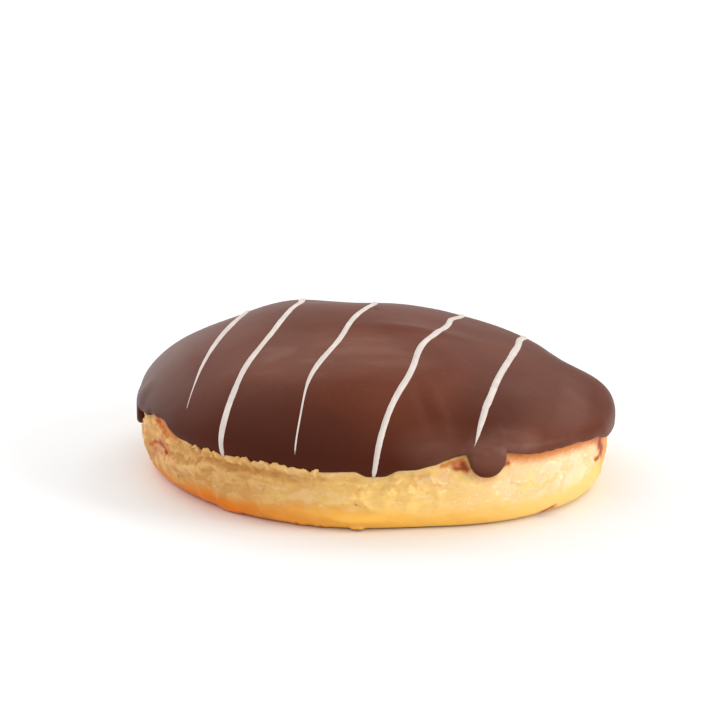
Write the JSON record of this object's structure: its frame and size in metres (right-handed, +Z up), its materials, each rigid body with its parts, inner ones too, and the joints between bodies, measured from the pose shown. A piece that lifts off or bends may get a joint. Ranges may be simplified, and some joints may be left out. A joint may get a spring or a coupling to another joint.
{
  "type": "filled doughnut",
  "caption": "Round uncut doughnut with a pale bread side, a chocolate coat over its top and thin white icing lines.",
  "frame": {"origin": "middle of the flat base, under the middle of the doughnut's box", "axes": "+Z up out of the chocolate coat, -Y towards the front that the picture shows, +X to that view's right"},
  "size_m": [0.0944, 0.0932, 0.0328],
  "materials": {
    "pale_crust": "matte baked dough",
    "chocolate": "satin chocolate",
    "white_icing": "dull set sugar icing"
  },
  "bodies": {
    "root": {"dough": "pale_crust", "chocolate_coat": "chocolate"}
  },
  "joints": []
}
